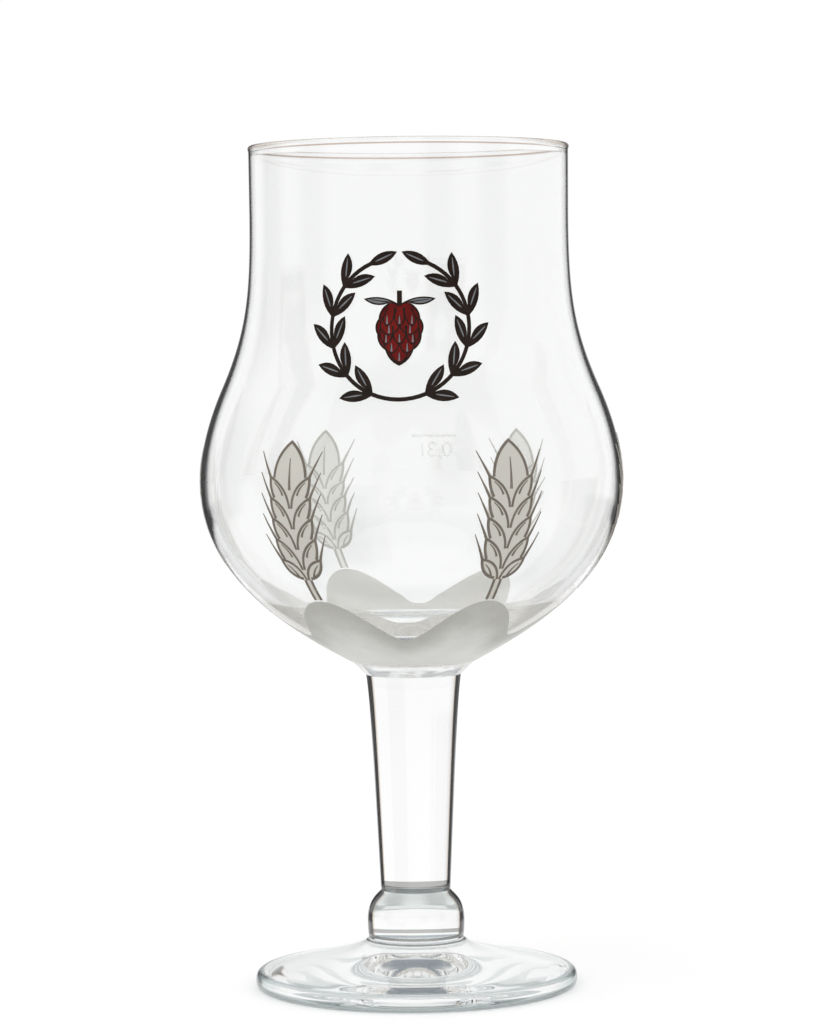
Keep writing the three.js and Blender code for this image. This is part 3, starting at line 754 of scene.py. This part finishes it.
# Painted shade: the foot's rim darkens, with a teal cast, where it turns away
FOOT_RIM_EDGE = [(0.45, CLEAR), (0.65, (0.5, 0.6, 0.61)), (0.85, (0.08, 0.11, 0.12))]
# Painted shade in the foot: its glass darkened, with a teal cast, in the hollow, across its base and in
# its ring, more where it turns away
HOLLOW_SHADE = [(0.0, (0.4, 0.44, 0.47)), (0.9, (0.24, 0.27, 0.3))]
BASE_SHADE = [(0.0, (0.72, 0.755, 0.75)), (0.9, (0.38, 0.43, 0.42))]
RING_SHADE = [(0.0, (0.36, 0.41, 0.41)), (0.9, (0.16, 0.19, 0.19))]
PLAIN_EDGE = [(0.8, CLEAR), (0.97, (0.5, 0.56, 0.56))]

# Glass, with painted shade and painted reflections in its colour
bowl_glass = glass_material("bowl_glass", BOWL_EDGE, ripple=0.03, shift=BOWL_EDGE_SHIFT)
inside_glass = glass_material("inside_glass", PLAIN_EDGE, ripple=0.03)
# Painted reflection: coppery dark lines along the rim's bead
rim_glass = glass_material("rim_glass", RIM_EDGE, ripple=0.03)
crease_reflection_glass = glass_material("crease_reflection_glass", CREASE_REFLECTION)
fuse_glass = glass_material("fuse_glass", PLAIN_EDGE, ripple=0.2, roughness=0.1, waves=240.0, clarity=0.75)
# Painted shade: dark glass for the rings where the pieces meet
groove_shade_glass = glass_material("groove_shade_glass", GROOVE_SHADE)
foot_rim_glass = glass_material("foot_rim_glass", FOOT_RIM_EDGE, ripple=0.04)
hollow_glass = glass_material("hollow_glass", HOLLOW_SHADE, ripple=0.04)
stem_glass = glass_material("stem_glass", STEM_EDGE, seam=True)
foot_glass = glass_material("foot_glass", PLAIN_EDGE, ripple=0.04)
base_glass = glass_material("base_glass", BASE_SHADE, ripple=0.12)
ring_glass = glass_material("ring_glass", RING_SHADE, ripple=0.12, waves=120.0)

# Enamel, each with its colour and its darker colour
coat_satin = satin_material("coat_satin", (0.78, 0.775, 0.745), (0.47, 0.465, 0.43), coat=True)
ear_satin = satin_material("ear_satin", (0.68, 0.66, 0.6), (0.56, 0.545, 0.49))
# Faces seen from inside the bowl are lighter than the outer ones: partly a whiter under-layer, partly
# painted light in place of light passing through the enamel from behind
coat_inside = satin_material("coat_inside", (0.82, 0.805, 0.78), (0.74, 0.725, 0.7))
ear_inside = satin_material("ear_inside", (0.98, 0.965, 0.945), (0.96, 0.945, 0.925))
line_inside = enamel_material("line_inside", (0.66, 0.635, 0.6), (0.6, 0.575, 0.54), MATT)
ear_line = enamel_material("ear_line", (0.22, 0.192, 0.16), (0.165, 0.145, 0.12), MATT)
black = enamel_material("black_enamel", (0.024, 0.015, 0.011), (0.013, 0.008, 0.006))
red = enamel_material("red_enamel", (0.19, 0.009, 0.007), (0.11, 0.005, 0.004))
grey = enamel_material("grey_enamel", (0.22, 0.228, 0.24), (0.17, 0.176, 0.186))
pale = enamel_material("pale_enamel", (0.88, 0.88, 0.87), (0.82, 0.82, 0.81), MATT, PALE_COVER)

# Pieces
bowl_points = bowl_profile()
inside_start = len(OUTSIDE) + BEAD_STEPS - 1
bowl_mesh = lathe("bowl_blown", bowl_points, bowl_glass)
paint_rings(bowl_mesh, 0, FUSE_STEPS, fuse_glass)
paint_rings(bowl_mesh, len(OUTSIDE), inside_start, rim_glass)
# Painted reflection: dark coppery glass in the crease inside the rim
paint_rings(bowl_mesh, inside_start, inside_start + 1, crease_reflection_glass)
paint_rings(bowl_mesh, inside_start + 1, len(bowl_points) - 1, inside_glass)
add_object("bowl_blown", bowl_mesh, ["bowl"], "glass")
stem_mesh = lathe("stem_drawn", stem_profile(), stem_glass)
# Painted shade in a ring at the bottom of the stem
paint_rings(stem_mesh, 0, 1, groove_shade_glass)
add_object("stem_drawn", stem_mesh, ["stem"], "glass")
knop_mesh = lathe("knop_pressed", knop_profile(), stem_glass)
# Painted shade in rings at the knop's base
paint_rings(knop_mesh, *KNOP_SHADE_RINGS, groove_shade_glass)
add_object("knop_pressed", knop_mesh, ["knop"], "glass")
foot_points = foot_profile()
foot_shade_ring = len(foot_points) - FOOT_SHADE_RING_FROM_TOP
foot_mesh = lathe("foot_pressed", foot_points, foot_glass)
# Painted shade: darker, teal-cast glass over the foot's hollow, base, ring and rim
paint_rings(foot_mesh, 0, HOLLOW_STEPS, hollow_glass)
paint_rings(foot_mesh, HOLLOW_STEPS, FOOT_EDGE_START, base_glass)
paint_rings(foot_mesh, FOOT_EDGE_START, FOOT_EDGE_TURN, ring_glass)
paint_rings(foot_mesh, FOOT_EDGE_TURN, FOOT_EDGE_END, foot_rim_glass)
# Painted shade in a ring where the foot meets the knop
paint_rings(foot_mesh, foot_shade_ring, foot_shade_ring + 1, groove_shade_glass)
add_object("foot_pressed", foot_mesh, ["foot"], "glass")
add_object("satin_coat_print", coat_mesh(), ["satin_coat"], "satin_enamel", coat_satin, coat_inside)
ear = ear_layers()
for i in range(EAR_COUNT):
    name = f"barley_ear_{i + 1}"
    mesh = print_mesh(f"{name}_print", (i + 0.5) * 360 / EAR_COUNT, ear)
    add_object(f"{name}_print", mesh, [name], "satin_enamel", ear_satin, ear_line, ear_inside, line_inside)
wreath = print_mesh("wreath_print", 0, wreath_layers())
add_object("wreath_print", wreath, ["wreath"], "black_enamel", black, grey)
hop_cone = print_mesh("hop_cone_print", 0, hop_layers())
add_object("hop_cone_print", hop_cone, ["hop_cone"], "red_enamel", red, black, grey)
fill = print_mesh("fill_mark_print", FILL_LINE_AZIMUTH, fill_layers())
add_object("fill_mark_print", fill, ["fill_line"], "pale_enamel", pale)

# Studio: a white room, with dark bands, cards and a ring overhead that only the glass shows
# Bearings are in degrees from straight behind the glass, towards -X, and distances in metres
WHITE = (1.0, 1.0, 1.0)
FLAG = (0.012, 0.012, 0.013)
FRINGE = (0.62, 0.5, 0.4)
STRIP, NEAR_FLOOR = (0.1, 0.1, 0.1), (0.2, 0.2, 0.2)
OVERHEAD = (0.28, 0.31, 0.34)
FLOOR_DARK, FLOOR_LIGHT = (0.84, 0.84, 0.84), (0.87, 0.87, 0.87)
FLAG_SOFT, BAND_SOFT = 2.0, 5.0
FLAGS, FLAG_RADIUS, FLAG_HEIGHTS = [(-88, -60), (140, 170)], 0.3, (-0.01, 0.13)
STRIPS = [(-166, -145), (-125, -104), (-29, -8), (12, 35), (55, 80), (100, 121)]
SECTORS = [(-68, -30), (34, 62), (116, 158)]
FLAG_EDGE = [(-FLAG_SOFT, WHITE), (0.0, FRINGE), (FLAG_SOFT, FLAG)]
STRIP_EDGE = [(-BAND_SOFT, WHITE), (BAND_SOFT, STRIP)]
SECTOR_EDGE = [(-BAND_SOFT, WHITE), (0.0, NEAR_FLOOR)]
FLAG_FADE_HEIGHT, FLAG_CLEAR_SHARE = 0.02, 0.3
FLAG_FLOOR, STRIP_FLOOR = (0.075, 0.11), (0.4, 0.6)
SECTOR_START, SECTOR_END = (0.09, 0.13), (0.8, 1.2)
FLOOR_RADIUS, FLOOR_SIDES, FLOOR_DROP = 3.0, 96, 0.02 * MM
FLOOR_GRAIN, FLOOR_GLOW = 900.0, 0.18
ROOM_LIGHT = 0.95
LAMP_PLACE, LAMP_AIM, LAMP_SIZE, LAMP_WATTS = (-0.8, -0.8, 2.0), (0, 0, 0.1), 1.6, 3.5

# Heights in the room, as the sine of the angle above the floor
STRIP_TOP = (0.2, 0.5)
RING_START, RING_END = (0.5, 0.7), (0.84, 0.94)

# Camera of the photograph: focal length and picture height in pixels, place in metres and degrees
FOCAL_PIXELS, PHOTO_HEIGHT, SENSOR = 3564, 1024, 36
CAMERA_TURN, CAMERA_DISTANCE, CAMERA_HEIGHT, CAMERA_ROLL = 3.4, 0.897, 0.1633, -0.6
CAMERA_AIM, CAMERA_NEAR, CAMERA_FAR = (-0.0006, 0, 0.11985), 0.01, 20


def blend(tree, share, low, high, **settings):
    """A mix of two colours, each of them three values or a socket."""
    low, high = [(*color, 1.0) if isinstance(color, tuple) else color for color in (low, high)]
    inputs = {0: share, 6: low, 7: high}
    return node(tree, "ShaderNodeMix", inputs, data_type="RGBA", **settings).outputs[2]


def bands(tree, vector, spans, edge):
    """White all round the glass, but dark over spans of bearings. Edge has (bearing, colour) steps."""
    stops = [(-180, WHITE)]
    for low, high in spans:
        stops += [(low + step, color) for step, color in edge]
        stops += [(high - step, color) for step, color in reversed(edge)]
    turn = math_node(tree, "DIVIDE", azimuth_of(tree, vector), 360.0)
    share = math_node(tree, "FLOORED_MODULO", turn, 1.0)
    return ramp(tree, share, [((bearing + 180) / 360, color) for bearing, color in stops])


def background(tree, color, strength):
    return node(tree, "ShaderNodeBackground", {"Color": color, "Strength": strength}).outputs[0]


def world():
    """White. Reflections meet dark strips low in the room, and refracted rays a grey ring overhead."""
    made = bpy.data.worlds.new("studio")
    bpy.context.scene.world = made
    made.use_nodes = True
    tree = made.node_tree
    tree.nodes.clear()
    direction = node(tree, "ShaderNodeTexCoord").outputs["Generated"]
    height = node(tree, "ShaderNodeSeparateXYZ", {0: direction}).outputs["Z"]
    light = node(tree, "ShaderNodeLightPath").outputs
    strips = bands(tree, direction, STRIPS, STRIP_EDGE)
    mirrored_room = blend(tree, fade(tree, height, *STRIP_TOP), strips, WHITE)
    ring = math_node(tree, "SUBTRACT", fade(tree, height, *RING_START), fade(tree, height, *RING_END))
    straight = math_node(tree, "LESS_THAN", light["Diffuse Depth"], 0.5)
    refracted_room = blend(tree, math_node(tree, "MULTIPLY", ring, straight), WHITE, OVERHEAD)
    plain = background(tree, (*WHITE, 1.0), ROOM_LIGHT)
    mix = mix_shaders(tree, light["Is Glossy Ray"], plain, background(tree, mirrored_room, 1.0))
    seen = math_node(tree, "MAXIMUM", light["Is Camera Ray"], light["Is Transmission Ray"])
    mix = mix_shaders(tree, seen, mix, background(tree, refracted_room, 1.0))
    node(tree, "ShaderNodeOutputWorld", {"Surface": mix})


def floor():
    """White. Reflections meet dark sectors and strips on it, and refracted rays the foot of the flags."""
    material, tree = new_material("floor_white")
    position = node(tree, "ShaderNodeNewGeometry").outputs["Position"]
    distance = node(tree, "ShaderNodeVectorMath", {0: position}, operation="LENGTH").outputs["Value"]
    light = node(tree, "ShaderNodeLightPath").outputs
    cards = bands(tree, position, FLAGS, FLAG_EDGE)
    through = blend(tree, fade(tree, distance, *FLAG_FLOOR), WHITE, cards)
    sectors = bands(tree, position, SECTORS, SECTOR_EDGE)
    near = blend(tree, fade(tree, distance, *SECTOR_START), WHITE, sectors)
    near = blend(tree, fade(tree, distance, *SECTOR_END), near, WHITE)
    strips = bands(tree, position, STRIPS, STRIP_EDGE)
    far = blend(tree, fade(tree, distance, *STRIP_FLOOR), WHITE, strips)
    mirror = blend(tree, 1.0, far, near, blend_type="MULTIPLY")
    color = blend(tree, light["Is Glossy Ray"], WHITE, mirror)
    color = blend(tree, light["Is Transmission Ray"], color, through)
    grain = noise(tree, position, FLOOR_GRAIN)
    paint = ramp(tree, grain, tone_stops(FLOOR_TONES, FLOOR_DARK, FLOOR_LIGHT))
    paint = blend(tree, 1.0, paint, color, blend_type="MULTIPLY")
    face = node(tree, "ShaderNodeBsdfDiffuse", {"Color": paint})
    seen = math_node(tree, "MAXIMUM", light["Is Camera Ray"], light["Is Transmission Ray"])
    seen = math_node(tree, "MAXIMUM", seen, light["Is Glossy Ray"])
    strength = math_node(tree, "MULTIPLY", seen, FLOOR_GLOW)
    glow = node(tree, "ShaderNodeEmission", {"Color": color, "Strength": strength})
    both = node(tree, "ShaderNodeAddShader", {0: face.outputs[0], 1: glow.outputs[0]})
    node(tree, "ShaderNodeOutputMaterial", {"Surface": both.outputs[0]})
    mesh = bpy.data.meshes.new("floor")
    turns = [2 * math.pi * k / FLOOR_SIDES for k in range(FLOOR_SIDES)]
    ring = [(FLOOR_RADIUS * math.cos(a), FLOOR_RADIUS * math.sin(a), 0) for a in turns]
    mesh.from_pydata(ring, [], [list(range(FLOOR_SIDES))])
    mesh.materials.append(material)
    made = bpy.data.objects.new("floor", mesh)
    made.location.z = -FLOOR_DROP
    bpy.context.scene.collection.objects.link(made)


def flag_material():
    """Black card with soft edges, where what it lies before shows through."""
    material, tree = new_material("flag_black")
    inner = node(tree, "ShaderNodeAttribute", attribute_name="flag_depth").outputs["Fac"]
    tone = ramp(tree, inner, [(0.0, WHITE), (0.5, FRINGE), (1.0, FLAG)])
    card = node(tree, "ShaderNodeEmission", {"Color": tone})
    clear = node(tree, "ShaderNodeBsdfTransparent")
    mix = mix_shaders(tree, fade(tree, inner, 0.0, FLAG_CLEAR_SHARE), clear.outputs[0], card.outputs[0])
    node(tree, "ShaderNodeOutputMaterial", {"Surface": mix})
    return material


def soft_span(low, high, edge):
    """Places across a card, each with how far it is from clear to black."""
    return [(low, 0.0), (low + edge, 1.0), (high - edge, 1.0), (high, 0.0)]


def flag(name, bearings, material):
    """A curved card round the glass, which only transmitted rays meet."""
    columns = soft_span(*bearings, 2 * FLAG_SOFT)
    rows = soft_span(*FLAG_HEIGHTS, FLAG_FADE_HEIGHT)
    verts, depths, faces = [], [], []
    for height, rise in rows:
        for bearing, depth in columns:
            turn = math.radians(bearing)
            verts.append((-FLAG_RADIUS * math.sin(turn), FLAG_RADIUS * math.cos(turn), height))
            depths.append(min(rise, depth))
    wide = len(columns)
    for i in range(len(rows) - 1):
        for j in range(wide - 1):
            k = wide * i + j
            faces.append([k, k + 1, k + wide + 1, k + wide])
    mesh = bpy.data.meshes.new(name)
    mesh.from_pydata(verts, [], faces)
    mesh.attributes.new("flag_depth", "FLOAT", "POINT").data.foreach_set("value", depths)
    mesh.materials.append(material)
    made = bpy.data.objects.new(name, mesh)
    made.visible_camera = made.visible_diffuse = made.visible_shadow = made.visible_glossy = False
    bpy.context.scene.collection.objects.link(made)


def lamp():
    data = bpy.data.lights.new("overhead", "AREA")
    data.shape, data.size, data.energy = "DISK", LAMP_SIZE, LAMP_WATTS
    made = bpy.data.objects.new("overhead", data)
    made.location = LAMP_PLACE
    made.rotation_mode = "QUATERNION"
    made.rotation_quaternion = (Vector(LAMP_AIM) - Vector(LAMP_PLACE)).to_track_quat("-Z", "Y")
    made.visible_glossy = False
    made.visible_transmission = False
    bpy.context.scene.collection.objects.link(made)


def camera():
    data = bpy.data.cameras.new("camera")
    data.lens = FOCAL_PIXELS / PHOTO_HEIGHT * SENSOR
    data.sensor_width = SENSOR
    data.clip_start, data.clip_end = CAMERA_NEAR, CAMERA_FAR
    made = bpy.data.objects.new("camera", data)
    turn = math.radians(CAMERA_TURN)
    place = (CAMERA_DISTANCE * math.sin(turn), -CAMERA_DISTANCE * math.cos(turn), CAMERA_HEIGHT)
    made.location = Vector(place)
    aim = Vector(CAMERA_AIM) - made.location
    look = aim.to_track_quat("-Z", "Y").to_matrix().to_4x4()
    roll = Matrix.Rotation(math.radians(CAMERA_ROLL), 4, "Z")
    made.matrix_world = Matrix.Translation(made.location) @ look @ roll
    bpy.context.scene.collection.objects.link(made)
    bpy.context.scene.camera = made


world()
floor()
black_card = flag_material()
for i, bearings in enumerate(FLAGS):
    flag(f"flag_{i + 1}", bearings, black_card)
lamp()
camera()

BOUNCES, CLEAR_BOUNCES = 64, 32
scene = bpy.context.scene
scene.view_settings.view_transform = "Standard"
scene.cycles.caustics_refractive = scene.cycles.caustics_reflective = True
scene.cycles.blur_glossy = 0.0
scene.cycles.max_bounces = BOUNCES
scene.cycles.transmission_bounces = BOUNCES
scene.cycles.transparent_max_bounces = CLEAR_BOUNCES
scene.cycles.glossy_bounces = BOUNCES
